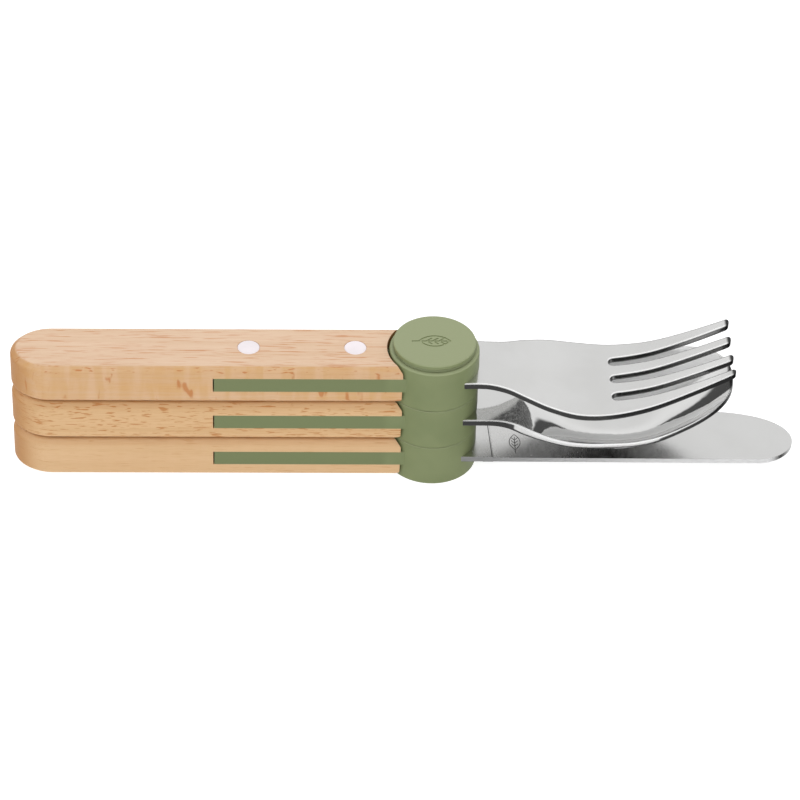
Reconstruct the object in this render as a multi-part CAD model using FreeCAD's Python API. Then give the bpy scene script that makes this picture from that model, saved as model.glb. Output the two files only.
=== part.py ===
"""Nested picnic cutlery: a fork, a spoon and a knife that stack on one another.

Millimetres, +X towards the tips, +Z up. The origin is at the bottom centre of
the nested set. Each piece of cutlery is drawn in its own layer, with the axis of
its round boss on x = 0 and its underside on z = 0, then moved to its place.
"""

import FreeCAD, Part
import math
import os

os.makedirs("parts", exist_ok=True)

V = FreeCAD.Vector
UP = V(0, 0, 1)

# --- the stack ---------------------------------------------------------------
REAR_X = -106.9          # rear end of the handles, from the boss axis
TIP_X = 93.1             # tip of the knife, from the boss axis
PITCH = 11.9             # height of one layer of the stack
ORIGIN_X = -(REAR_X + TIP_X) / 2
LAYERS = {"knife": 0, "spoon": 1, "fork": 2}

# --- bolster: round boss, plug on top, socket below, tongue behind -----------
BOSS_R = 11.6
BOSS_TOP_R = 11.4        # the boss has a little draft
BOSS_H = 11.65           # height of the ledge round the plug
BOSS_EDGE = 0.2          # softened lower edge of the boss
LEDGE_EDGE = 0.7         # rounded upper edge of the boss
PLUG_R = 10.48
PLUG_TOP = 13.55
PLUG_EDGE = 0.4
RING_GROOVE_R = 9.7
RING_GROOVE_H = 0.9
SOCKET_R = 10.58
SOCKET_DEPTH = 1.75
SOCKET_LEAD = 0.12       # chamfer at the mouth of the socket
TONGUE_END = -55.55
TONGUE_Z = 4.1
TONGUE_H = 4.1

# --- grip ring in the groove at the foot of the plug -------------------------
RING_INNER_R = 9.75
RING_OUTER_R = 10.47
RING_H = 0.8
RING_GAP = 0.05
RING_EDGE = 0.15

# --- wooden handle -----------------------------------------------------------
HANDLE_HALF = 8.9
HANDLE_H = 11.35
HANDLE_END = 10.2        # length of the half ellipse that ends the handle
TOP_BEVEL = 1.5
BOTTOM_BEVEL = 1.4
BEVEL_SOFTEN = 1.3
FRONT_GAP = 0.6         # between the boss and the wood
SLOT_END = -55.85

# --- rivets ------------------------------------------------------------------
RIVET_R = 2.85
RIVET_EDGE = 0.15
REAR_RIVET_X = -46.9
FRONT_RIVET_X = -20.0

# --- steel -------------------------------------------------------------------
STEEL_MIDDLE = 5.9       # height of the middle of the sheet in the bolster
BLADE_T = 1.5
PRESSED_T = 1.57         # sheet of the fork and the spoon
TANG_END = -52.5
TANG_HALF = 6.0
TANG_CORNER_R = 3.0
TANG_JOIN_X = -2.0       # where the tang widens into the neck, inside the boss
TANG_OVERLAP = 1.0
NECK_HALF = 8.8
NECK_END = 13.0
FORK_ROUND = 0.15        # rounding of the upper edges of the fork

# --- fork head ---------------------------------------------------------------
FORK_TIP = 75.4
FORK_WIDTHS = [(13, 8.8), (18, 9.55), (24, 12.1), (30, 14.1), (37, 14.85),
               (46, 14.15), (60, 12.6), (FORK_TIP, 11.2)]
FORK_RISES = [(5, 0.0), (13, 0.0), (20, -1.1), (30, -3.6), (36, -4.9), (42, -5.35),
              (48, -4.9), (56, -3.15), (66, 0.75), (77, 5.75)]
FORK_CUP = 0.7           # rise of the outer tines at the tips
FORK_CUP_START = 45.0
SLOT_ROOT_X = 45.0
SLOT_ROOT_W = 3.0
SLOT_PITCH = 7.05
CENTRE_SLOT_TIP_W = 4.9
SIDE_SLOT_TIP_W = 4.0
TINE_TIP_Y = 6.9
TINE_TIP_R = 1.05

# --- spoon head --------------------------------------------------------------
SPOON_TIP = 76.2
BOWL_X = 49.0            # widest and deepest station of the bowl
BOWL_HALF = 18.1
BOWL_DEPTH = 8.4
BOWL_POWER = 2.35
BOWL_START = 22.0
BOWL_ENTRY = 0.6         # below 1 the bowl starts more steeply behind the neck
SPOON_WIDTHS = [(13, 8.8), (17, 8.9), (20, 9.8), (24, 12.0), (28, 13.9), (34, 16.0),
                (41, 17.3), (BOWL_X, BOWL_HALF)]
SPOON_RISES = [(5, 0.0), (13, 0.0), (20, -0.25), (32, -0.9), (38, -0.6), (44, 0.1),
               (50, 0.9), (56, 2.2), (64, 5.0), (72, 7.4), (80, 9.3)]
# how far the rim leans inwards for each millimetre of height
RIM_LEANS = [(14, 0.0), (18, 0.25), (22, 0.7), (27, 0.9), (36, 0.85), (49, 0.75), (58, 0.45),
             (68, 0.15), (77, 0.05)]

# --- knife blade -------------------------------------------------------------
SPINE_Y = -8.9           # at the bolster
SPINE_TIP_Y = -9.3       # the blade gets a little wider towards the tip
BLADE_EDGE_T = 0.3
PLUNGE_X = 14.8
PLUNGE_LEAN = 0.9
GRIND_STEP = 0.08        # depth of the grind at the spine
GRIND_MARGIN = 0.4       # the grinding wedge is wider than the blade
GRIND_REACH = 5.0
BLADE_EDGE = [(13, 8.8), (22, 9.2), (38, 10.1), (54, 10.8), (66, 11.0), (74.5, 10.5),
              (81.1, 9.4), (87.3, 7.1), (91.3, 3.8), (93.0, 0.1), (92.8, -2.9),
              (91.2, -5.8), (88.3, -8.1), (84.4, SPINE_TIP_Y)]

# --- leaf cut into the top of the fork's plug --------------------------------
LEAF_HALF_LENGTH = 4.2
LEAF_HALF_WIDTH = 2.3
LEAF_LINE = 0.4
LEAF_DEPTH = 0.2
LEAF_STEM = 1.6
VEIN_LENGTH = 1.9
VEIN_ANGLE = 38.0
VEIN_XS = (-2.2, -0.6, 1.0)

GRID_STEP = 2.0          # spacing of the points that shape the pressed steel
GRID_HALF = 22.0
SHEET_MARGIN = 2.0
SHEET_END = 82.0
BLANK_Z = -10.0          # upright cutters reach from here ...
BLANK_H = 40.0           # ... through every layer of the sheet
LEAN_BOTTOM = -4.0       # levels between which the spoon's leaning wall is drawn
LEAN_TOP = 17.5
ROUND_START = 3.0


def smooth(stations, x):
    """Height of a smooth curve that passes through (x, value) stations."""
    if x <= stations[0][0]:
        return stations[0][1]
    if x >= stations[-1][0]:
        return stations[-1][1]
    index = max(i for i in range(len(stations) - 1) if stations[i][0] <= x)
    x0, y0 = stations[index]
    x1, y1 = stations[index + 1]
    t = (x - x0) / (x1 - x0)
    m0 = slope(stations, index) * (x1 - x0)
    m1 = slope(stations, index + 1) * (x1 - x0)
    return ((2 * t**3 - 3 * t**2 + 1) * y0 + (t**3 - 2 * t**2 + t) * m0
            + (3 * t**2 - 2 * t**3) * y1 + (t**3 - t**2) * m1)


def slope(stations, index):
    """Slope at a station, from its neighbours on both sides."""
    before = stations[max(index - 1, 0)]
    after = stations[min(index + 1, len(stations) - 1)]
    return (after[1] - before[1]) / (after[0] - before[0])


def steps(start, end, spacing):
    """Evenly spread numbers from start to end, about spacing apart."""
    count = max(1, round((end - start) / spacing))
    return [start + (end - start) * i / count for i in range(count + 1)]


def box(x0, x1, half, z0, height):
    return Part.makeBox(x1 - x0, 2 * half, height, V(x0, -half, z0))


def cylinder(radius, z0, height, x=0.0):
    return Part.makeCylinder(radius, height, V(x, 0, z0))


def edges_at(shape, test):
    """Edges whose two ends both pass the test."""
    return [e for e in shape.Edges if all(test(v.Point) for v in e.Vertexes)]


def is_upright(edge):
    a = edge.Vertexes[0].Point
    b = edge.Vertexes[-1].Point
    return abs(a.x - b.x) < 1e-6 and abs(a.y - b.y) < 1e-6


def is_level(edge, z):
    return abs(edge.BoundBox.ZMin - z) < 1e-4 and abs(edge.BoundBox.ZMax - z) < 1e-4


def round_ends(shape, x, radius):
    """Round the upright edges of a plate that stand at x."""
    picked = [e for e in edges_at(shape, lambda p: abs(p.x - x) < 1e-4) if is_upright(e)]
    return shape.makeFillet(radius, picked)


# --- wood, bolster, ring and rivets ------------------------------------------
def handle():
    block = handle_block()
    top = edges_at(block, lambda p: p.z > HANDLE_H - 0.01 and not p.x > -0.01)
    top += long_edges(block, HANDLE_H)
    bottom = edges_at(block, lambda p: p.z < 0.01 and not p.x > -0.01)
    bottom += long_edges(block, 0)
    block = block.makeChamfer(TOP_BEVEL, top)
    block = block.makeChamfer(BOTTOM_BEVEL, find_again(block, bottom))
    block = soften_bevels(block)
    block = block.cut(Part.makeCone(BOSS_R + FRONT_GAP, BOSS_TOP_R + FRONT_GAP, BOSS_H))
    block = block.cut(box(SLOT_END, 0, HANDLE_HALF + 1, TONGUE_Z, TONGUE_H))
    for x in (REAR_RIVET_X, FRONT_RIVET_X):
        block = block.cut(cylinder(RIVET_R, -1, HANDLE_H + 2, x))
    return block


def handle_block():
    """Straight bar with a half-elliptical rear end."""
    centre = V(REAR_X + HANDLE_END, 0, 0)
    ellipse = Part.Ellipse(centre, HANDLE_END, HANDLE_HALF)
    end = Part.ArcOfEllipse(ellipse, math.pi / 2, 3 * math.pi / 2).toShape()
    corners = [V(centre.x, -HANDLE_HALF, 0), V(0, -HANDLE_HALF, 0),
               V(0, HANDLE_HALF, 0), V(centre.x, HANDLE_HALF, 0)]
    sides = [Part.makeLine(a, b) for a, b in zip(corners, corners[1:])]
    return Part.Face(Part.Wire([end] + sides)).extrude(V(0, 0, HANDLE_H))


def long_edges(block, z):
    """The two straight edges along the sides of the block at height z."""
    def on_side(edge):
        a = edge.Vertexes[0].Point
        b = edge.Vertexes[-1].Point
        return (abs(a.z - z) < 0.01 and abs(b.z - z) < 0.01 and abs(a.y - b.y) < 1e-6
                and abs(abs(a.y) - HANDLE_HALF) < 1e-6 and abs(a.x - b.x) > 1)
    return [e for e in block.Edges if on_side(e)]


def find_again(block, edges):
    """The edges of block that have the same middle points as the given edges."""
    centres = [e.CenterOfMass for e in edges]
    return [e for e in block.Edges
            if any(e.CenterOfMass.distanceToPoint(c) < 1e-4 for c in centres)]


def soften_bevels(block):
    """Round the ridges where the bevels meet the flat faces."""
    levels = (0, BOTTOM_BEVEL, HANDLE_H - TOP_BEVEL, HANDLE_H)
    ridges = [e for e in block.Edges
              if abs(e.BoundBox.ZLength) < 1e-6
              and any(abs(e.BoundBox.ZMin - z) < 1e-4 for z in levels)
              and not (e.BoundBox.XMin > -0.01)]
    return block.makeFillet(BEVEL_SOFTEN, ridges)


def bolster(steel):
    boss = Part.makeCone(BOSS_R, BOSS_TOP_R, BOSS_H)
    for z, radius in ((0, BOSS_EDGE), (BOSS_H, LEDGE_EDGE)):
        boss = boss.makeFillet(radius, [e for e in boss.Edges if is_level(e, z)])
    plug = cylinder(PLUG_R, BOSS_H, PLUG_TOP - BOSS_H)
    top_rim = [e for e in plug.Edges if e.BoundBox.ZMin > PLUG_TOP - 0.01]
    plug = plug.makeFillet(PLUG_EDGE, top_rim)
    groove = cylinder(PLUG_R + 1, BOSS_H, RING_GROOVE_H)
    groove = groove.cut(cylinder(RING_GROOVE_R, BOSS_H, RING_GROOVE_H))
    body = boss.fuse(plug.cut(groove))
    body = body.fuse(box(TONGUE_END, 0, HANDLE_HALF, TONGUE_Z, TONGUE_H))
    body = body.removeSplitter()
    mouth = Part.makeCone(SOCKET_R + SOCKET_LEAD, SOCKET_R, SOCKET_LEAD)
    body = body.cut(cylinder(SOCKET_R, -1, SOCKET_DEPTH + 1)).cut(mouth)
    for x in (REAR_RIVET_X, FRONT_RIVET_X):
        body = body.cut(cylinder(RIVET_R, 0, HANDLE_H, x))
    return body.cut(steel)


def grip_ring():
    z = BOSS_H + RING_GAP
    ring = cylinder(RING_OUTER_R, z, RING_H).cut(cylinder(RING_INNER_R, z, RING_H))
    rims = [e for e in ring.Edges
            if abs(e.BoundBox.ZLength) < 1e-6 and e.BoundBox.XMax > RING_OUTER_R - 0.01]
    return ring.makeFillet(RING_EDGE, rims)


def rivet(x):
    pin = cylinder(RIVET_R, 0, HANDLE_H, x)
    return pin.makeChamfer(RIVET_EDGE, [e for e in pin.Edges if abs(e.BoundBox.ZLength) < 1e-6])


# --- leaf --------------------------------------------------------------------
def leaf_shape(half_length, half_width, z, depth):
    ends = (V(-half_length, 0, z), V(half_length, 0, z))
    arcs = [Part.Arc(ends[0], V(0, side * half_width, z), ends[1]).toShape() for side in (1, -1)]
    return Part.Face(Part.Wire(arcs)).extrude(V(0, 0, depth))


def leaf():
    """Cutter for a plain leaf outline with a midrib and side veins."""
    z = PLUG_TOP - LEAF_DEPTH
    height = LEAF_DEPTH + 1
    outline = leaf_shape(LEAF_HALF_LENGTH, LEAF_HALF_WIDTH, z, height)
    inside = leaf_shape(LEAF_HALF_LENGTH - 2 * LEAF_LINE, LEAF_HALF_WIDTH - LEAF_LINE, z, height)
    cutter = outline.cut(inside)
    rib_start = -LEAF_HALF_LENGTH - LEAF_STEM
    cutter = cutter.fuse(box(rib_start, LEAF_HALF_LENGTH - 1, LEAF_LINE / 2, z, height))
    for x in VEIN_XS:
        for side in (1, -1):
            vein = box(0, VEIN_LENGTH, LEAF_LINE / 2, z, height)
            vein.rotate(V(0, 0, 0), UP, side * VEIN_ANGLE)
            vein.translate(V(x, 0, 0))
            cutter = cutter.fuse(vein.common(outline))
    return cutter


# --- steel -------------------------------------------------------------------
def pressed_sheet(rise):
    """Sheet whose middle follows rise(x, y) above the plane of the tang."""
    xs = steps(TANG_END - SHEET_MARGIN, SHEET_END, GRID_STEP)
    ys = steps(-GRID_HALF, GRID_HALF, GRID_STEP)
    underside = STEEL_MIDDLE - PRESSED_T / 2
    surface = Part.BSplineSurface()
    surface.interpolate([[V(x, y, underside + rise(x, y)) for y in ys] for x in xs])
    return surface.toShape().extrude(V(0, 0, PRESSED_T))


def plate(outline, z0=BLANK_Z, height=BLANK_H):
    """Upright block with the given closed outline in plan."""
    return Part.Face(outline).extrude(V(0, 0, height)).translated(V(0, 0, z0))


def round_rim(steel, rise):
    """Round the upper edges of a head and of the neck in front of the boss."""
    rim = []
    for edge in steel.Edges:
        middle = edge.valueAt((edge.FirstParameter + edge.LastParameter) / 2)
        above = middle.z > STEEL_MIDDLE + rise(middle.x, middle.y)
        if middle.x > ROUND_START and above and not is_upright(edge):
            rim.append(edge)
    return steel.makeFillet(FORK_ROUND, rim)


def inward(points, index):
    """Unit vector in plan, square to an outline that runs anticlockwise."""
    ahead = points[min(index + 1, len(points) - 1)] - points[max(index - 1, 0)]
    return V(-ahead.y, ahead.x, 0).normalize()


def leaning_blank(points, rise):
    """Block under the given outline whose wall leans inwards by RIM_LEANS."""
    parameters = [0.0]
    for a, b in zip(points, points[1:]):
        parameters.append(parameters[-1] + a.distanceToPoint(b))
    wires = []
    for level in (LEAN_BOTTOM, LEAN_TOP):
        spots = []
        for index, p in enumerate(points):
            climb = level - STEEL_MIDDLE - rise(p.x, p.y)
            shift = inward(points, index) * (smooth(RIM_LEANS, p.x) * climb)
            spots.append(V(p.x + shift.x, p.y + shift.y, level))
        curve = Part.BSplineCurve()
        curve.interpolate(Points=spots, Parameters=parameters)
        wires.append(Part.Wire([curve.toShape(), Part.makeLine(spots[-1], spots[0])]))
    return Part.makeLoft(wires, True, True)


def tang(z0=BLANK_Z, height=BLANK_H):
    strip = box(TANG_END, TANG_JOIN_X + TANG_OVERLAP, TANG_HALF, z0, height)
    strip = round_ends(strip, TANG_END, TANG_CORNER_R)
    blank = strip.fuse(box(TANG_JOIN_X, NECK_END, NECK_HALF, z0, height))
    for x in (REAR_RIVET_X, FRONT_RIVET_X):
        blank = blank.cut(cylinder(RIVET_R, z0, height, x))
    return blank


def fork_slot(y_root, y_tip, tip_width):
    """Gap between two tines, with a round root, getting wider to the tips."""
    r = SLOT_ROOT_W / 2
    x = SLOT_ROOT_X + r
    end = FORK_TIP + 2
    corners = [V(x, y_root - r, 0), V(x, y_root + r, 0),
               V(end, y_tip + tip_width / 2, 0), V(end, y_tip - tip_width / 2, 0)]
    lines = [Part.makeLine(corners[i], corners[i + 1]) for i in (1, 2)]
    lines.append(Part.makeLine(corners[3], corners[0]))
    root = Part.Arc(corners[0], V(SLOT_ROOT_X, y_root, 0), corners[1]).toShape()
    return plate(Part.Wire([root] + lines))


def fork_rise(x, y):
    reach = max(0.0, (x - FORK_CUP_START) / (FORK_TIP - FORK_CUP_START))
    return smooth(FORK_RISES, x) + FORK_CUP * reach * reach * (y / 10.0) ** 2


def fork_steel():
    xs = steps(NECK_END, FORK_TIP, 3.0)
    near = [V(x, -smooth(FORK_WIDTHS, x), 0) for x in xs]
    far = [V(p.x, -p.y, 0) for p in reversed(near)]
    sides = []
    for points in (near, far):
        curve = Part.BSplineCurve()
        curve.interpolate(points)
        sides.append(curve.toShape())
    outline = Part.Wire([sides[0], Part.makeLine(near[-1], far[0]), sides[1],
                         Part.makeLine(far[-1], near[0])])
    blank = plate(outline)
    blank = blank.cut(fork_slot(0, 0, CENTRE_SLOT_TIP_W))
    for side in (1, -1):
        blank = blank.cut(fork_slot(side * SLOT_PITCH, side * TINE_TIP_Y, SIDE_SLOT_TIP_W))
    blank = round_ends(blank, FORK_TIP, TINE_TIP_R)
    blank = blank.fuse(tang()).removeSplitter()
    return round_rim(pressed_sheet(fork_rise).common(blank), fork_rise)


def bowl_fill(x, y):
    """1 at the bottom of the bowl, 0 on its rim and along the neck."""
    across = abs(y)
    if x >= BOWL_X:
        ahead = (x - BOWL_X) / (SPOON_TIP - BOWL_X)
        return 1 - ahead**BOWL_POWER - (across / BOWL_HALF) ** BOWL_POWER
    if x <= BOWL_START:
        return 0.0
    t = (x - BOWL_START) / (BOWL_X - BOWL_START)
    start = (t * t * (3 - 2 * t)) ** BOWL_ENTRY
    return start * (1 - (across / smooth(SPOON_WIDTHS, x)) ** BOWL_POWER)


def spoon_rise(x, y):
    return smooth(SPOON_RISES, x) - BOWL_DEPTH * bowl_fill(x, y)


def spoon_steel():
    side = [V(x, -smooth(SPOON_WIDTHS, x), 0) for x in steps(NECK_END, BOWL_X, 3.0)]
    power = 2 / BOWL_POWER
    for degrees in range(10, 90, 10):
        angle = math.radians(degrees)
        x = BOWL_X + (SPOON_TIP - BOWL_X) * math.sin(angle) ** power
        side.append(V(x, -BOWL_HALF * math.cos(angle) ** power, 0))
    points = side + [V(SPOON_TIP, 0, 0)] + [V(p.x, -p.y, 0) for p in reversed(side)]
    blank = leaning_blank(points, spoon_rise).fuse(tang())
    return pressed_sheet(spoon_rise).common(blank)


def knife_steel():
    edge = Part.BSplineCurve()
    edge.interpolate([V(x, y, 0) for x, y in BLADE_EDGE])
    start = V(BLADE_EDGE[0][0], BLADE_EDGE[0][1], 0)
    end = V(BLADE_EDGE[-1][0], BLADE_EDGE[-1][1], 0)
    corner = V(start.x, SPINE_Y, 0)
    outline = Part.Wire([edge.toShape(), Part.makeLine(end, corner),
                         Part.makeLine(corner, start)])
    underside = STEEL_MIDDLE - BLADE_T / 2
    blade = plate(outline, underside, BLADE_T)
    blade = blade.fuse(tang(underside, BLADE_T)).removeSplitter()
    for side in (1, -1):
        blade = blade.cut(grind(side))
    return blade


def grind(side):
    """Wedge that thins one face of the blade from the spine to the edge."""
    face = STEEL_MIDDLE + side * (BLADE_T / 2 - GRIND_STEP)
    far_y = max(y for x, y in BLADE_EDGE) + GRIND_MARGIN
    edge = STEEL_MIDDLE + side * BLADE_EDGE_T / 2
    beyond = STEEL_MIDDLE + side * GRIND_REACH
    x = PLUNGE_X
    near_y = SPINE_TIP_Y - GRIND_MARGIN
    corners = [V(x + PLUNGE_LEAN, near_y, face), V(x, far_y, edge), V(x, far_y, beyond),
               V(x + PLUNGE_LEAN, near_y, beyond)]
    section = Part.Face(Part.makePolygon(corners + corners[:1]))
    return section.extrude(V(TIP_X, 0, 0))


# --- every piece of one layer ------------------------------------------------
def place(shape, layer):
    return shape.translated(V(ORIGIN_X, 0, layer * PITCH))


def one_solid(shape):
    solids = shape.Solids
    assert len(solids) == 1, "expected one closed solid, found %d" % len(solids)
    return solids[0]


def main():
    steels = {"knife": ("blade", knife_steel()), "spoon": ("bowl", spoon_steel()),
              "fork": ("head", fork_steel())}
    pieces = {}
    for name, layer in LAYERS.items():
        part_name, steel = steels[name]
        body = bolster(steel)
        if name == "fork":
            body = body.cut(leaf())
        pieces[name + "_" + part_name] = (steel, layer)
        pieces[name + "_bolster"] = (body, layer)
        pieces[name + "_handle"] = (handle(), layer)
        pieces[name + "_grip_ring"] = (grip_ring(), layer)
        pieces[name + "_front_rivet"] = (rivet(FRONT_RIVET_X), layer)
        pieces[name + "_rear_rivet"] = (rivet(REAR_RIVET_X), layer)
    for node, (shape, layer) in pieces.items():
        place(one_solid(shape), layer).exportStep("parts/%s.step" % node)


main()
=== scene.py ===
import bpy
import math
from mathutils import Matrix, Vector
from mathutils.bvhtree import BVHTree


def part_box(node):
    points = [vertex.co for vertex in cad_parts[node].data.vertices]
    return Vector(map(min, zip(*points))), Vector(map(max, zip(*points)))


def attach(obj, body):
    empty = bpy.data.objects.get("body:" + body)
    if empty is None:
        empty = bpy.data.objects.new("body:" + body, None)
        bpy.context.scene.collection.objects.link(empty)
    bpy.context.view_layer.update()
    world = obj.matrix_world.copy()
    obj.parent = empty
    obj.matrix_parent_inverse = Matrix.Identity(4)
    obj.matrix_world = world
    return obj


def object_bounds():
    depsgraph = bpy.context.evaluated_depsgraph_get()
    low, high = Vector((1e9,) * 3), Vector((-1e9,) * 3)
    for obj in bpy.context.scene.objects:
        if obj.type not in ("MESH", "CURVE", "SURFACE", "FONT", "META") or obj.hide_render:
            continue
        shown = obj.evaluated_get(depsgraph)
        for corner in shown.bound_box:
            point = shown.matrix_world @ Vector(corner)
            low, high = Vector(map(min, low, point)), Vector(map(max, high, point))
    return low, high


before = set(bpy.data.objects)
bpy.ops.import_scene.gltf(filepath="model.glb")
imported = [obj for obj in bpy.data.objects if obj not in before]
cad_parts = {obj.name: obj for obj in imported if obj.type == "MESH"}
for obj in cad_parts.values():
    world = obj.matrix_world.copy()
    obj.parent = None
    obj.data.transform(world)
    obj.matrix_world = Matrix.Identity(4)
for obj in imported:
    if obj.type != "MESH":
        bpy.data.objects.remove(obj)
cad_low, cad_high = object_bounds()

# --- camera, as the photograph was taken -------------------------------------
YAW = math.radians(-2.66)
ELEVATION = math.radians(39.1)
ROLL = math.radians(1.88)
DISTANCE = 0.9498
TARGET = Vector((-0.0014, 0.0, 0.01816))
LENS = 167.5

LAYERS = ("knife", "spoon", "fork")
STEEL = {"knife": "knife_blade", "spoon": "spoon_bowl", "fork": "fork_head"}


def srgb(r, g, b):
    """Linear colour from 0-255 screen values."""
    def linear(v):
        v /= 255
        return v / 12.92 if v <= 0.04045 else ((v + 0.055) / 1.055) ** 2.4
    return (linear(r), linear(g), linear(b), 1.0)


def camera():
    forward = Vector((-math.sin(YAW) * math.cos(ELEVATION),
                      math.cos(YAW) * math.cos(ELEVATION), -math.sin(ELEVATION)))
    right = Vector((math.cos(YAW), math.sin(YAW), 0))
    up = right.cross(forward)
    turned = right * math.cos(ROLL) + up * math.sin(ROLL)
    up = up * math.cos(ROLL) - right * math.sin(ROLL)
    data = bpy.data.cameras.new("camera")
    data.lens = LENS
    data.sensor_width = 36
    data.clip_start = 0.01
    obj = bpy.data.objects.new("camera", data)
    rotation = Matrix((turned, up, -forward)).transposed().to_4x4()
    obj.matrix_world = Matrix.Translation(TARGET - forward * DISTANCE) @ rotation
    bpy.context.collection.objects.link(obj)
    bpy.context.scene.camera = obj


# --- node helpers ------------------------------------------------------------
class Graph:
    """A material's node tree, with short calls to add nodes and link them."""

    def __init__(self, name):
        self.material = bpy.data.materials.new(name)
        self.material.use_nodes = True
        self.tree = self.material.node_tree
        self.tree.nodes.clear()
        self.shader = self.add("ShaderNodeBsdfPrincipled")
        out = self.add("ShaderNodeOutputMaterial")
        self.link(self.shader.outputs["BSDF"], out.inputs["Surface"])
        self.place = self.add("ShaderNodeTexCoord").outputs["Object"]

    def where(self):
        """Split outputs X, Y and Z of the place on the piece."""
        node = self.add("ShaderNodeSeparateXYZ")
        self.link(self.place, node.inputs[0])
        return node.outputs

    def add(self, kind, **settings):
        node = self.tree.nodes.new(kind)
        for key, value in settings.items():
            setattr(node, key, value)
        return node

    def link(self, source, target):
        self.tree.links.new(source, target)

    def feed(self, socket, value):
        if isinstance(value, bpy.types.NodeSocket):
            self.link(value, socket)
        else:
            socket.default_value = value

    def math(self, operation, a, b=0.0, c=0.0):
        node = self.add("ShaderNodeMath", operation=operation)
        for socket, value in zip(node.inputs, (a, b, c)):
            self.feed(socket, value)
        return node.outputs[0]

    def mapped(self, scale, turn=(0, 0, 0), shift=(0, 0, 0)):
        """The piece's own coordinates, scaled, turned and shifted."""
        node = self.add("ShaderNodeMapping")
        self.link(self.place, node.inputs["Vector"])
        node.inputs["Scale"].default_value = scale
        node.inputs["Rotation"].default_value = turn
        node.inputs["Location"].default_value = shift
        return node.outputs[0]

    def facing(self):
        """Split outputs X, Y and Z of the surface's own normal."""
        node = self.add("ShaderNodeSeparateXYZ")
        self.link(self.add("ShaderNodeTexCoord").outputs["Normal"], node.inputs[0])
        return node.outputs

    def soft_edges(self, radius):
        """Normal that turns smoothly over the edges, as on a part with broken edges."""
        node = self.add("ShaderNodeBevel", samples=8)
        node.inputs["Radius"].default_value = radius
        return node.outputs["Normal"]

    def glint(self, radius):
        """One along the edges that face the near side: the mask of a painted highlight."""
        turned = self.add("ShaderNodeVectorTransform", vector_type="NORMAL",
                          convert_from="WORLD", convert_to="OBJECT")
        self.link(self.soft_edges(radius), turned.inputs[0])
        parts = self.add("ShaderNodeSeparateXYZ")
        self.link(turned.outputs[0], parts.inputs[0])
        near = self.ramp(parts.outputs["Y"], -0.05, -0.30)
        return self.math("MULTIPLY", near, self.ramp(parts.outputs["Z"], 0.55, 0.75))

    def inverse(self, value):
        return self.math("SUBTRACT", 1.0, value)

    def noise(self, vector, detail=2.0, rough=0.5, distortion=0.0):
        node = self.add("ShaderNodeTexNoise")
        self.link(vector, node.inputs["Vector"])
        node.inputs["Scale"].default_value = 1.0
        node.inputs["Detail"].default_value = detail
        node.inputs["Roughness"].default_value = rough
        node.inputs["Distortion"].default_value = distortion
        return node.outputs["Fac"]

    def ramp(self, value, low, high, to_low=0.0, to_high=1.0):
        """Smooth step: to_low where value is low, to_high where it is high."""
        node = self.add("ShaderNodeMapRange", interpolation_type="SMOOTHSTEP")
        self.feed(node.inputs["Value"], value)
        for key, number in (("From Min", low), ("From Max", high),
                            ("To Min", to_low), ("To Max", to_high)):
            node.inputs[key].default_value = number
        return node.outputs["Result"]

    def mix(self, factor, a, b):
        """Colour between a and b."""
        node = self.add("ShaderNodeMix", data_type="RGBA")
        self.feed(node.inputs["Factor"], factor)
        self.feed(node.inputs[6], a)
        self.feed(node.inputs[7], b)
        return node.outputs[2]

    def blend(self, factor, a, b):
        """Number between a and b."""
        node = self.add("ShaderNodeMix", data_type="FLOAT")
        for key, value in (("Factor", factor), ("A", a), ("B", b)):
            self.feed(node.inputs[key], value)
        return node.outputs["Result"]

    def bump(self, height, distance, strength=1.0, normal=None):
        node = self.add("ShaderNodeBump")
        node.inputs["Strength"].default_value = strength
        node.inputs["Distance"].default_value = distance
        self.link(height, node.inputs["Height"])
        if normal:
            self.link(normal, node.inputs["Normal"])
        return node.outputs["Normal"]

    def set(self, **values):
        for key, value in values.items():
            self.feed(self.shader.inputs[key.replace("_", " ")], value)


# --- materials ---------------------------------------------------------------
# light is the tops' colour; side is a darker, yellower copy for the faces that do not look up, which
# is painted shade
WOODS = {
    "fork": dict(light=srgb(226, 196, 168), dark=srgb(213, 178, 144), fleck=srgb(190, 112, 50),
                 side=srgb(212, 167, 113), rays=(420, 2600, 130), turn=(0.0, 0.7, 0.0),
                 level=0.61, edge=0.10, strength=0.7, bands=0.28, seed=3.1),
    "spoon": dict(light=srgb(226, 188, 142), dark=srgb(212, 172, 124), fleck=srgb(184, 112, 42),
                  side=srgb(222, 184, 138), rays=(340, 170, 3000), turn=(0.0, 0.10, 0.0),
                  level=0.58, edge=0.08, strength=0.7, bands=0.0, seed=7.7),
    "knife": dict(light=srgb(226, 190, 148), dark=srgb(215, 176, 130), fleck=srgb(188, 128, 72),
                  side=srgb(222, 185, 141), rays=(170, 150, 2600), turn=(0.0, 0.02, 0.2),
                  level=0.64, edge=0.08, strength=0.4, bands=0.12, seed=12.9),
}
END_GRAIN = srgb(184, 128, 70)
# features per metre of the wood, along, across and up
WARP = (30, 90, 90)
RINGS = (9, 420, 420)
PORES = (160, 5200, 5200)
THREADS = (130, 2600, 2600)
CROSS_BANDS = (330, 20, 60)
GRAIN_DEPTH = 0.00005


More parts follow.
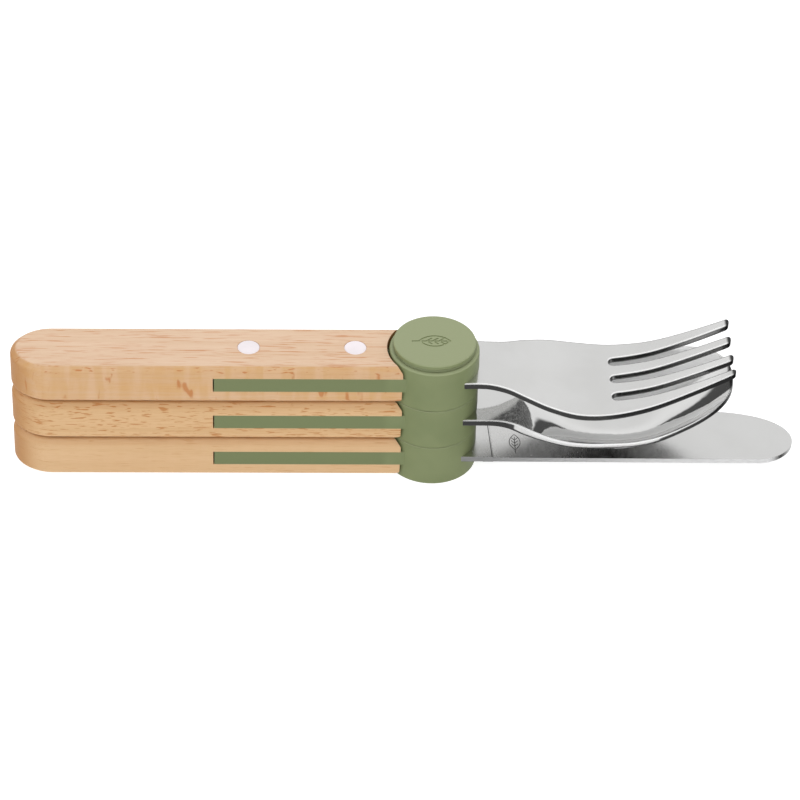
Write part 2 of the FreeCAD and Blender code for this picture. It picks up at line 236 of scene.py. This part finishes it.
def beech(name, light, dark, fleck, side, rays, turn, level, edge, strength, bands, seed):
    """Steamed beech: long grain along X, with the short dark ends of its rays."""
    g = Graph("beech_" + name)
    facing = g.facing()
    lengthwise = g.math("ABSOLUTE", facing["X"])
    upward = g.ramp(facing["Z"], 0.75, 0.97)
    warp = g.noise(g.mapped(WARP, shift=(seed, 0, 0)), 2.0)
    rings = g.noise(g.mapped(RINGS, shift=(seed, seed, 0)), 3.0, 0.6, 0.6)
    pores = g.noise(g.mapped(PORES, (0, 0, -0.02), (0, seed, 0)), 3.0, 0.65)
    ray = g.noise(g.mapped(rays, turn, (seed, seed, seed)), 2.0, 0.4, 0.3)
    flecks = g.ramp(ray, level, level + edge, 0.0, strength)
    dashes = g.math("MULTIPLY", g.inverse(upward), flecks)
    fine = g.noise(g.mapped(THREADS, (0, 0, -0.03), (seed, 0, seed)), 2.0, 0.5)
    threads = g.math("MULTIPLY", upward, g.ramp(fine, 0.56, 0.68, 0.0, 0.6))
    # painted shade: faces that do not look up take the darker side colour
    colour = g.mix(upward, side, light)
    colour = g.mix(g.ramp(rings, 0.35, 0.75, 0.0, 0.75), colour, dark)
    colour = g.mix(g.ramp(warp, 0.35, 0.7, 0.0, 0.3), colour, dark)
    if bands:
        cross = g.noise(g.mapped(CROSS_BANDS, (0, 0.2, 0), (0, 0, seed)), 2.0, 0.5, 0.4)
        amount = g.math("MULTIPLY", g.inverse(upward), g.ramp(cross, 0.35, 0.65))
        colour = g.mix(g.math("MULTIPLY", amount, bands), colour, light)
    colour = g.mix(g.ramp(pores, 0.5, 0.72, 0.0, 0.25), colour, fleck)
    colour = g.mix(g.math("MAXIMUM", dashes, threads), colour, fleck)
    colour = g.mix(g.ramp(lengthwise, 0.15, 0.95, 0.0, 0.9), colour, END_GRAIN)
    g.set(Base_Color=colour, Roughness=g.ramp(pores, 0.3, 0.8, 0.40, 0.56))
    g.shader.inputs["Specular IOR Level"].default_value = 0.35
    height = g.math("SUBTRACT", pores, g.math("MULTIPLY", dashes, 0.5))
    g.set(Normal=g.bump(height, GRAIN_DEPTH, 0.6))
    return g.material


STRIPE_FADE = (-0.0065, -0.0040)  # where the tongues run into the bosses; the tongues are painted a darker green than the bosses, as shade
STRIPE_GREEN = srgb(121, 131, 89)
BOSS_GREENS = (srgb(125, 136, 93), srgb(133, 143, 100))
# the paler green painted on faces that look up, as light
LIT_TOP_GREEN = srgb(147, 155, 117)
# the pale green of the painted highlight on the rounded edges
HIGHLIGHT_GREEN = srgb(172, 180, 142)
POLYMER_GRAIN = 0.00002


def polymer():
    """Matt moulded polymer with a fine spark-eroded grain. Its tops are painted paler as light, its
    rounded edges carry a painted highlight, and the tongues are painted darker as shade.
    """
    g = Graph("sage_polymer")
    grain = g.noise(g.mapped((5200, 5200, 5200)), 2.0, 0.6)
    cloud = g.noise(g.mapped((90, 90, 90)), 2.0, 0.5)
    upward = g.facing()["Z"]
    along = g.where()["X"]
    colour = g.mix(g.ramp(cloud, 0.3, 0.7), *BOSS_GREENS)
    # painted shade: the tongues on the handles' sides take the darker stripe green
    colour = g.mix(g.ramp(along, *STRIPE_FADE), STRIPE_GREEN, colour)
    # painted light: faces that look up take a paler green
    colour = g.mix(g.ramp(upward, 0.8, 0.98), colour, LIT_TOP_GREEN)
    # painted highlight: rounded edges between upright and flat are painted a pale green
    edge_highlight = g.math("MULTIPLY", g.ramp(upward, 0.30, 0.55), g.ramp(upward, 0.97, 0.75))
    colour = g.mix(g.math("MULTIPLY", edge_highlight, 0.4), colour, HIGHLIGHT_GREEN)
    g.set(Base_Color=colour, Roughness=g.ramp(grain, 0.3, 0.7, 0.42, 0.52))
    g.set(Normal=g.bump(grain, POLYMER_GRAIN, 0.45))
    return g.material


def rubber():
    """Soft ring in the groove under each plug."""
    g = Graph("ring_rubber")
    grain = g.noise(g.mapped((4000, 4000, 4000)), 2.0)
    colour = g.mix(grain, srgb(120, 129, 94), srgb(130, 138, 102))
    g.set(Base_Color=colour, Roughness=0.7, Normal=g.bump(grain, POLYMER_GRAIN, 0.5))
    return g.material


def metal(name, tint, roughness, brush, depth, edge=None):
    """Bare metal: brush is the scratches per metre along each axis, depth their height."""
    g = Graph(name)
    scratch = g.noise(g.mapped(brush), 3.0, 0.65)
    wear = g.noise(g.mapped((70, 70, 70)), 3.0, 0.6)
    rough = g.ramp(scratch, 0.3, 0.7, roughness * 0.85, roughness * 1.15)
    rough = g.math("ADD", rough, g.ramp(wear, 0.45, 0.75, 0.0, roughness * 0.2))
    g.set(Base_Color=g.mix(g.ramp(wear, 0.3, 0.7, 0.0, 0.3), tint, srgb(208, 207, 205)))
    normal = g.soft_edges(edge) if edge else None
    g.set(Metallic=1.0, Roughness=rough, Normal=g.bump(scratch, depth, 0.4, normal))
    return g


# the darker grey given for the upright walls of each head is a painted reflection
PRESSED = {
    "spoon": dict(name="spoon_polish", tint=srgb(222, 222, 221), roughness=0.05,
                  brush=(900, 900, 900), depth=0.000001, wall_reflection=srgb(200, 200, 200),
                  pale_from=(0.066, 0.076)),
    "fork": dict(name="fork_satin", tint=srgb(223, 223, 222), roughness=0.16,
                 brush=(900, 5000, 900), depth=0.000003, wall_reflection=srgb(155, 155, 155),
                 pale_from=(0.054, 0.068)),
}
EDGE_SOFT = 0.0006               # broken edges of the pressed steel
NECK_SKEW = -1.5                 # the underside is painted darker past a line that runs askew, as shade
NECK_FADE = (0.0150, 0.0180)
# grey of the painted shade on the underside
UNDERSIDE_SHADE_GREY = srgb(88, 88, 88)
# grey of the painted light on the underside near the tips
UNDERSIDE_LIGHT_GREY = srgb(212, 212, 211)
# near-white of the painted highlight along the near edges
HIGHLIGHT_WHITE = srgb(254, 254, 254)
# dark grey of the painted reflection on the tips
TIP_REFLECTION_GREY = srgb(60, 60, 60)
END_LENGTH = (0.0013, 0.0006)    # the rounded ends are painted darker from here to here, as reflection
GLINT_SOFT = 0.0009              # width of the painted highlight along an edge
HEAD_FADE = (0.049, 0.054)       # the upright walls of the head are painted darker from here to here, as reflection


def pressed_steel(name, tint, roughness, brush, depth, wall_reflection, pale_from, tip):
    """Polished outside, with the dull grained skin of the rolled sheet underneath. Painted on it:
    the head's upright walls and the rounded tips darker, as reflection; the underside darker past an
    askew line, as shade, and paler towards the tips, as light; a highlight along the near edges.
    """
    g = metal(name, tint, roughness, brush, depth, EDGE_SOFT)
    facing = g.facing()
    upright = g.math("ABSOLUTE", facing["Z"])
    under = g.ramp(facing["Z"], -0.3, -0.7)
    place = g.where()
    along = place["X"]
    # painted reflection: the upright walls of the head take the darker grey
    dark_wall_reflection = g.math("MULTIPLY", g.ramp(upright, 0.35, 0.15), g.ramp(along, *HEAD_FADE))
    # painted reflection: walls that face the tips, and the last mm of each piece, are painted dark
    dark_tip_reflection = g.math("MULTIPLY", g.ramp(upright, 0.55, 0.35), g.ramp(facing["X"], 0.35, 0.75))
    dark_tip_reflection = g.math("MAXIMUM", dark_tip_reflection, g.ramp(along, *[tip - length for length in END_LENGTH]))
    polish = g.shader.inputs["Base Color"].links[0].from_socket
    colour = g.mix(dark_tip_reflection, g.mix(dark_wall_reflection, polish, wall_reflection), TIP_REFLECTION_GREY)
    skin = g.noise(g.mapped((900, 1300, 900)), 4.0, 0.75)
    tips = g.ramp(along, *pale_from)
    askew = g.math("MULTIPLY_ADD", place["Y"], NECK_SKEW, along)
    # painted shade on the underside, forward of the askew line
    underside_shade = g.math("MULTIPLY", g.ramp(askew, *NECK_FADE), g.ramp(skin, 0.3, 0.6, 0.5, 1.0))
    dark = g.mix(g.math("MULTIPLY", under, underside_shade), colour, UNDERSIDE_SHADE_GREY)
    # painted light: the underside is painted paler towards the tips
    pale = g.mix(g.math("MULTIPLY", under, tips), dark, UNDERSIDE_LIGHT_GREY)
    # painted highlight: a near-white line along the near edges
    glint = g.math("MULTIPLY", g.glint(GLINT_SOFT), g.inverse(dark_tip_reflection))
    g.feed(g.shader.inputs["Base Color"], g.mix(glint, pale, HIGHLIGHT_WHITE))
    dull = g.blend(tips, g.ramp(skin, 0.35, 0.65, 0.35, 0.85), g.ramp(skin, 0.35, 0.65, 0.2, 0.4))
    metallic = g.blend(under, 1.0, dull)
    g.feed(g.shader.inputs["Metallic"], g.blend(glint, metallic, 0.15))
    return g.material


PLUNGE_AT = 0.0218               # where the grind starts, on the blade's centre line
PLUNGE_LEAN = 0.05
PLUNGE_LINE = 0.00016
BLADE_SOFT = 0.0002
# grey of the painted shade line where the grind starts
PLUNGE_SHADE_GREY = srgb(96, 96, 96)
SHADED_SPINE_GREY = srgb(150, 150, 150)
SPINE_PALE = srgb(240, 240, 240)
SPINE_FADE = (0.012, 0.072)      # the spine is painted darker near the bolster and paler from here to here, as shade


def blade_steel():
    """Satin blade, brushed across, with a pale rough spine painted darker towards the bolster as
    shade, and a painted shade line where the grind starts.
    """
    g = metal("blade_satin", srgb(221, 221, 220), 0.22, (2400, 500, 2400), 0.0000015, BLADE_SOFT)
    spine = g.ramp(g.facing()["Y"], -0.80, -0.97)
    mottle = g.noise(g.mapped((900, 900, 2200)), 3.0, 0.7)
    rough = g.shader.inputs["Roughness"].links[0].from_socket
    g.feed(g.shader.inputs["Roughness"], g.blend(spine, rough, 0.55))
    g.feed(g.shader.inputs["Metallic"], g.blend(spine, 1.0, g.ramp(mottle, 0.3, 0.7, 0.12, 0.4)))
    place = g.where()
    line = g.math("MULTIPLY_ADD", place["Y"], -PLUNGE_LEAN, PLUNGE_AT)
    gap = g.math("ABSOLUTE", g.math("SUBTRACT", place["X"], line))
    # painted shade: a thin dark line where the grind starts
    plunge_shade = g.math("MULTIPLY", g.ramp(gap, PLUNGE_LINE, PLUNGE_LINE * 0.4),
                  g.inverse(spine))
    tint = g.shader.inputs["Base Color"].links[0].from_socket
    # painted shade: the spine is darker towards the bolster
    ground = g.mix(g.ramp(place["X"], *SPINE_FADE), SHADED_SPINE_GREY, SPINE_PALE)
    tint = g.mix(spine, tint, ground)
    g.feed(g.shader.inputs["Base Color"], g.mix(plunge_shade, tint, PLUNGE_SHADE_GREY))
    return g.material


def assign(node, material):
    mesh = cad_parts[node].data
    mesh.materials.clear()
    mesh.materials.append(material)


def dress():
    green = polymer()
    ring = rubber()
    rivet = metal("rivet_aluminium", srgb(253, 244, 248), 0.5, (900, 9000, 900), 0.00001)
    rivet.shader.inputs["Metallic"].default_value = 0.45
    steel = {
        "knife": blade_steel(),
        "spoon": pressed_steel(tip=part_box("spoon_bowl")[1][0], **PRESSED["spoon"]),
        "fork": pressed_steel(tip=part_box("fork_head")[1][0], **PRESSED["fork"]),
    }
    for name in LAYERS:
        assign(STEEL[name], steel[name])
        assign(name + "_bolster", green)
        assign(name + "_handle", beech(name, **WOODS[name]))
        assign(name + "_grip_ring", ring)
        assign(name + "_front_rivet", rivet.material)
        assign(name + "_rear_rivet", rivet.material)


# --- leaf etched on the blade ------------------------------------------------
LEAF_HALF = 0.0031
LEAF_WIDTH = 0.0014
LEAF_LINE = 0.00022
LEAF_SHIFT = (0.0098, 0.0068)    # from the bolster's front, and from the spine
VEIN_STARTS = (-0.55, -0.15, 0.25)
ETCH_PROUD = 0.000008            # height of the mark above the blade


def strip(points, width):
    """Flat ribbon of the given width along points in the XY plane."""
    vertices, faces = [], []
    for i, point in enumerate(points):
        ahead = points[min(i + 1, len(points) - 1)] - points[max(i - 1, 0)]
        side = Vector((-ahead.y, ahead.x)).normalized() * width / 2
        vertices += [point + side, point - side]
        if i:
            faces.append((2 * i - 2, 2 * i - 1, 2 * i + 1, 2 * i))
    return vertices, faces


def leaf_lines():
    """Outline, midrib and veins of a plain leaf that lies along Y."""
    steps = [i / 20 for i in range(21)]
    lines = []
    for side in (1, -1):
        lines.append([Vector((side * LEAF_WIDTH * math.sin(math.pi * t) ** 0.8,
                              LEAF_HALF * (2 * t - 1))) for t in steps])
    lines.append([Vector((0, LEAF_HALF * (2.2 * t - 1.5))) for t in steps])
    for y in VEIN_STARTS:
        for side in (1, -1):
            lines.append([Vector((side * t * LEAF_WIDTH * 0.62,
                                  LEAF_HALF * y + t * LEAF_WIDTH * 0.8)) for t in steps[::5]])
    return lines


def blade_leaf():
    low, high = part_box("knife_blade")
    bolster_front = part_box("knife_bolster")[1][0]
    centre = Vector((bolster_front + LEAF_SHIFT[0], low[1] + LEAF_SHIFT[1]))
    tree = blade_surface()
    vertices, faces = [], []
    for line in leaf_lines():
        more, quads = strip([centre + p for p in line], LEAF_LINE)
        faces += [tuple(i + len(vertices) for i in quad) for quad in quads]
        vertices += more
    lifted = []
    for x, y in vertices:
        hit = tree.ray_cast(Vector((x, y, high[2] + 0.01)), Vector((0, 0, -1)))[0]
        lifted.append((x, y, hit.z + ETCH_PROUD))
    mesh = bpy.data.meshes.new("blade_leaf_mark")
    mesh.from_pydata(lifted, [], faces)
    obj = bpy.data.objects.new("blade_leaf_mark", mesh)
    bpy.context.collection.objects.link(obj)
    mark = metal("etched_steel", srgb(84, 84, 83), 0.5, (3000, 3000, 3000), 0.00001)
    mesh.materials.append(mark.material)
    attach(obj, "knife")


def blade_surface():
    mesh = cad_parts["knife_blade"].data
    return BVHTree.FromPolygons([v.co for v in mesh.vertices],
                                [tuple(p.vertices) for p in mesh.polygons])


# --- room --------------------------------------------------------------------
FLOOR_HALF = 6.0
FLOOR_GREYS = ((0.38, 0.38, 0.38, 1), (0.42, 0.42, 0.42, 1))
FLOOR_GLOW = 0.88


def floor():
    mesh = bpy.data.meshes.new("floor")
    corners = [(x * FLOOR_HALF, y * FLOOR_HALF, 0) for x, y in ((-1, -1), (1, -1), (1, 1), (-1, 1))]
    mesh.from_pydata(corners, [], [(0, 1, 2, 3)])
    obj = bpy.data.objects.new("floor", mesh)
    obj.location.z = cad_low[2]
    bpy.context.collection.objects.link(obj)
    g = Graph("floor_white")
    grain = g.noise(g.mapped((40, 40, 40)), 2.0)
    g.set(Base_Color=g.mix(grain, *FLOOR_GREYS), Roughness=0.9)
    g.set(Emission_Color=(1, 1, 1, 1), Emission_Strength=FLOOR_GLOW)
    mesh.materials.append(g.material)
    obj.visible_glossy = False


def area(name, place, aim, size, power):
    data = bpy.data.lights.new(name, "AREA")
    data.shape = "RECTANGLE"
    data.size, data.size_y = size
    data.energy = power
    obj = bpy.data.objects.new(name, data)
    obj.location = place
    obj.rotation_euler = (Vector(aim) - Vector(place)).to_track_quat("-Z", "Y").to_euler()
    obj.visible_glossy = False
    bpy.context.collection.objects.link(obj)


# levels of grey: of the room, by height, and of the table, from its near side to its far side
SKY = ((0.0, 0.08), (0.20, 0.09), (0.25, 0.93), (0.36, 1.0), (0.60, 0.88), (0.80, 0.88), (1.0, 1.05))
GROUND = ((0.0, 0.07), (0.45, 0.08), (0.75, 0.75), (1.0, 0.8))


def levels(tree, value, stops):
    """Grey that follows (value, level) stops."""
    ramp = tree.nodes.new("ShaderNodeValToRGB")
    ramp.color_ramp.interpolation = "EASE"
    points = ramp.color_ramp.elements
    while len(points) < len(stops):
        points.new(0.5)
    for point, (place, level) in zip(points, stops):
        point.position = place
        point.color = (level, level, level, 1)
    tree.links.new(value, ramp.inputs["Fac"])
    return ramp.outputs["Color"]


def room():
    """Soft white room. The table is dark in front of the object and pale behind it."""
    world = bpy.data.worlds.new("room")
    bpy.context.scene.world = world
    world.use_nodes = True
    tree = world.node_tree
    direction = tree.nodes.new("ShaderNodeSeparateXYZ")
    tree.links.new(tree.nodes.new("ShaderNodeTexCoord").outputs["Generated"], direction.inputs[0])
    behind = tree.nodes.new("ShaderNodeMath")
    behind.operation = "MULTIPLY_ADD"
    behind.inputs[1].default_value = 0.5
    behind.inputs[2].default_value = 0.5
    tree.links.new(direction.outputs["Y"], behind.inputs[0])
    below = tree.nodes.new("ShaderNodeMath")
    below.operation = "LESS_THAN"
    below.inputs[1].default_value = 0.0
    tree.links.new(direction.outputs["Z"], below.inputs[0])
    choose = tree.nodes.new("ShaderNodeMix")
    choose.data_type = "RGBA"
    tree.links.new(below.outputs[0], choose.inputs["Factor"])
    tree.links.new(levels(tree, direction.outputs["Z"], SKY), choose.inputs[6])
    tree.links.new(levels(tree, behind.outputs[0], GROUND), choose.inputs[7])
    tree.links.new(choose.outputs[2], tree.nodes["Background"].inputs["Color"])
    tree.nodes["Background"].inputs["Strength"].default_value = 1.0


def lights():
    room()
    area("key", (-0.45, -0.55, 0.8), (0, 0, 0), (0.5, 0.5), 1.25)
    area("top", (0.1, 0.35, 1.1), (0, 0, 0), (1.2, 0.7), 1.7)
    bpy.context.scene.view_settings.view_transform = "Standard"


camera()
floor()
lights()
dress()
blade_leaf()
